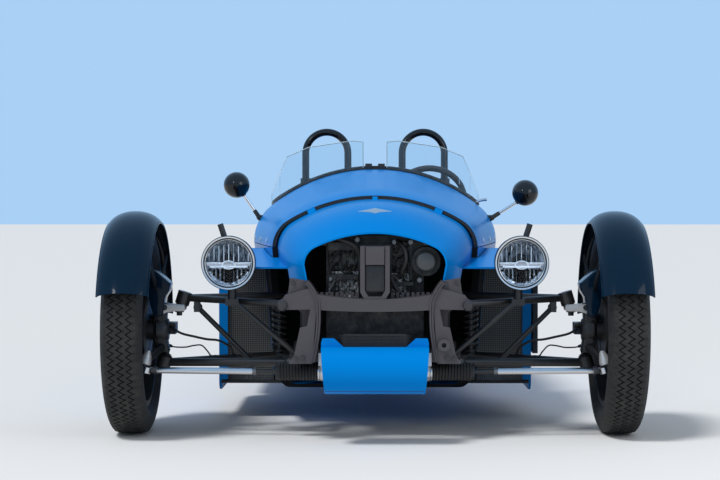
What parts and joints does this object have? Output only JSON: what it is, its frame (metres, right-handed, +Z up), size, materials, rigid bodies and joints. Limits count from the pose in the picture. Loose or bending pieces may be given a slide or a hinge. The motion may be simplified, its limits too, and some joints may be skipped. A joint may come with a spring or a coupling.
{
  "type": "three wheeled car",
  "caption": "Open two seat car with two steered front wheels, one driven rear wheel, round headlamps, small screens and a tapering tail.",
  "frame": {"origin": "middle of the footprint, on the ground", "axes": "+Z up, -Y towards the nose, +X towards the driver's side (the car's left)"},
  "size_m": [1.85, 3.6091, 1.1319],
  "materials": {
    "body_paint": "gloss azure blue",
    "fender_paint": "gloss dark navy",
    "black_plastic": "matt black",
    "black_metal": "satin black",
    "gloss_black": "gloss black",
    "engine_metal": "raw casting",
    "casting_paint": "satin warm grey",
    "bare_alloy": "machined",
    "boot_rubber": "ribbed rubber",
    "belt_rubber": "toothed belt",
    "bright_steel": "plated",
    "lamp_glass": "clear lens",
    "screen_glass": "clear screen",
    "lamp_red": "red lens",
    "black_leather": "stitched",
    "rim_paint": "satin dark wheel",
    "tyre_rubber": "road tyre"
  },
  "bodies": {
    "chassis": {"hull": "body_paint", "bonnet": "body_paint", "vent_band": "black_plastic", "nose_cowl": "body_paint", "tail_shell": "body_paint", "engine_block": "engine_metal", "front_casting": "casting_paint", "casting_beam": "casting_paint", "engine_loop": "casting_paint", "front_frame": "black_metal", "lamp_brackets": "black_metal", "bay_liner": "black_plastic", "carrier_board": "black_plastic", "wishbones": "black_metal", "pull_rods": "black_metal", "dampers": "black_metal", "rack_housing": "bare_alloy", "rack_boots": "boot_rubber", "headlamp_shells": "body_paint", "headlamp_lenses": "lamp_glass", "chin_cover": "body_paint", "lower_grille": "black_plastic", "side_pods": "black_plastic", "radiators": "black_metal", "side_blades": "body_paint", "aeroscreens": "screen_glass", "roll_hoops": "gloss_black", "mirrors": "gloss_black", "dashboard": "black_plastic", "steering_column": "black_plastic", "seats": "black_leather", "cockpit_trim": "black_leather", "tunnel": "black_plastic", "swing_arm": "black_metal", "bevel_box": "bare_alloy", "drive_belt": "belt_rubber", "rear_damper": "black_metal", "rear_mudguard": "black_plastic", "tail_lamps": "lamp_red", "plate_holder": "black_plastic", "exhaust": "black_metal"},
    "boot_lid_body": {"boot_lid": "body_paint"},
    "rack": {"rack_bar": "bright_steel"},
    "steering_wheel_body": {"steering_wheel": "black_leather"},
    "rear_wheel": {"rear_rim": "rim_paint", "rear_tyre": "tyre_rubber"},
    "knuckle_left": {"upright_left": "bare_alloy", "caliper_left": "black_metal", "fender_left": "fender_paint"},
    "front_wheel_left": {"rim_left": "rim_paint", "tyre_left": "tyre_rubber"},
    "track_rod_left": {"tie_rod_left": "bright_steel"},
    "knuckle_right": {"upright_right": "bare_alloy", "caliper_right": "black_metal", "fender_right": "fender_paint"},
    "front_wheel_right": {"rim_right": "rim_paint", "tyre_right": "tyre_rubber"},
    "track_rod_right": {"tie_rod_right": "bright_steel"}
  },
  "joints": [
    {"name": "steer_left", "type": "hinge", "parent": "chassis", "child": "knuckle_left", "pos_m": [0.735, -1.3705, 0.245], "axis": [-0.2932, 0, 0.9561], "range_deg": [-25, 25]},
    {"name": "steer_right", "type": "hinge", "parent": "chassis", "child": "knuckle_right", "pos_m": [-0.735, -1.3705, 0.245], "axis": [0.2932, 0, 0.9561], "range_deg": [-25, 25]},
    {"name": "roll_left", "type": "hinge", "parent": "knuckle_left", "child": "front_wheel_left", "pos_m": [0.842, -1.3705, 0.36], "axis": [1, 0, 0], "continuous": true},
    {"name": "rod_pivot_left", "type": "hinge", "parent": "knuckle_left", "child": "track_rod_left", "pos_m": [0.783, -1.5005, 0.23], "axis": [-0.2919, 0.0896, 0.9523], "range_deg": [-26.25, 26.25]},
    {"name": "roll_right", "type": "hinge", "parent": "knuckle_right", "child": "front_wheel_right", "pos_m": [-0.842, -1.3705, 0.36], "axis": [1, 0, 0], "continuous": true},
    {"name": "rod_pivot_right", "type": "hinge", "parent": "knuckle_right", "child": "track_rod_right", "pos_m": [-0.783, -1.5005, 0.23], "axis": [0.2919, 0.0896, 0.9523], "range_deg": [-26.25, 26.25]},
    {"name": "rack_slide", "type": "slide", "parent": "chassis", "child": "rack", "axis": [1, 0, 0], "range_m": [-0.062, 0.062]},
    {"name": "steering_wheel_turn", "type": "hinge", "parent": "chassis", "child": "steering_wheel_body", "pos_m": [0.225, -0.1055, 0.806], "axis": [0, 0.9135, 0.4067], "range_deg": [-300, 300]},
    {"name": "roll_rear", "type": "hinge", "parent": "chassis", "child": "rear_wheel", "pos_m": [0, 1.1495, 0.317], "axis": [1, 0, 0], "continuous": true},
    {"name": "boot_lid_hinge", "type": "hinge", "parent": "chassis", "child": "boot_lid_body", "pos_m": [0, 0.9195, 0.846], "axis": [1, 0, 0], "range_deg": [0, 70]}
  ],
  "couplings": [
    {"joint": "steer_right", "follows": "steer_left", "ratio": 1},
    {"joint": "rod_pivot_left", "follows": "steer_left", "ratio": -0.92},
    {"joint": "rod_pivot_right", "follows": "steer_left", "ratio": -0.92},
    {"joint": "rack_slide", "follows": "steer_left", "m_per_rad": 0.124},
    {"joint": "steering_wheel_turn", "follows": "steer_left", "ratio": 12}
  ]
}
